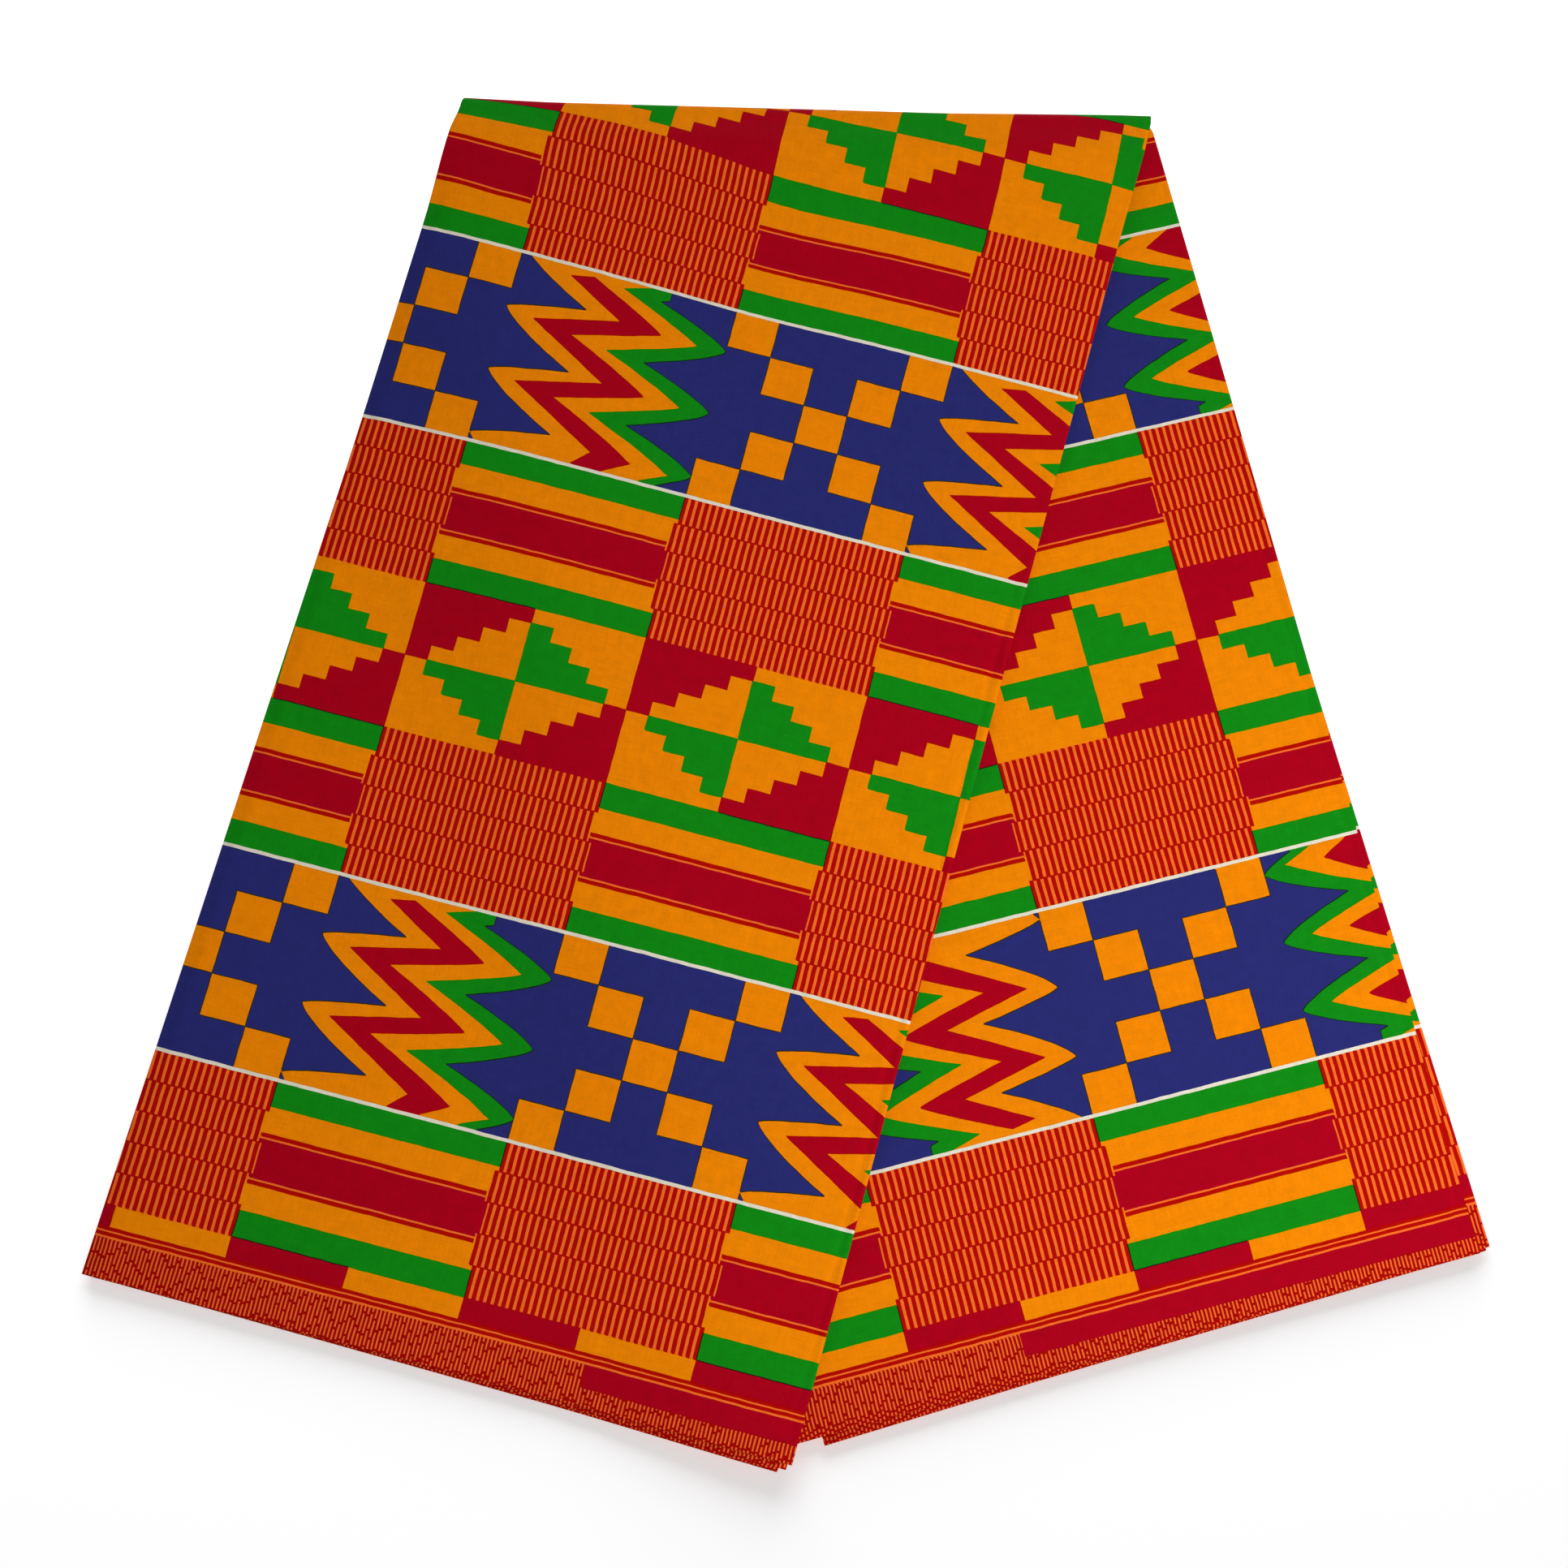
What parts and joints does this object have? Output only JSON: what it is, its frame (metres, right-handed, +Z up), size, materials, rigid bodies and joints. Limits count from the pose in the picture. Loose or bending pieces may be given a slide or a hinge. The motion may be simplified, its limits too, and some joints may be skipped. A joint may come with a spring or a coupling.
{
  "type": "folded kente print cloth",
  "caption": "Length of printed cotton in kente patterns, folded back and forth into a strip and laid over itself in two splayed legs.",
  "frame": {"origin": "centre of the bounding box's underside, on the surface the cloth lies on", "axes": "+Z up out of the surface, +Y towards the cross fold, +X from the front leg to the back leg"},
  "size_m": [0.5932, 0.6054, 0.0122],
  "materials": {
    "printed_cotton": "matte plain-woven cotton, printed"
  },
  "bodies": {
    "root": {"folded_cloth": "printed_cotton"}
  },
  "joints": []
}
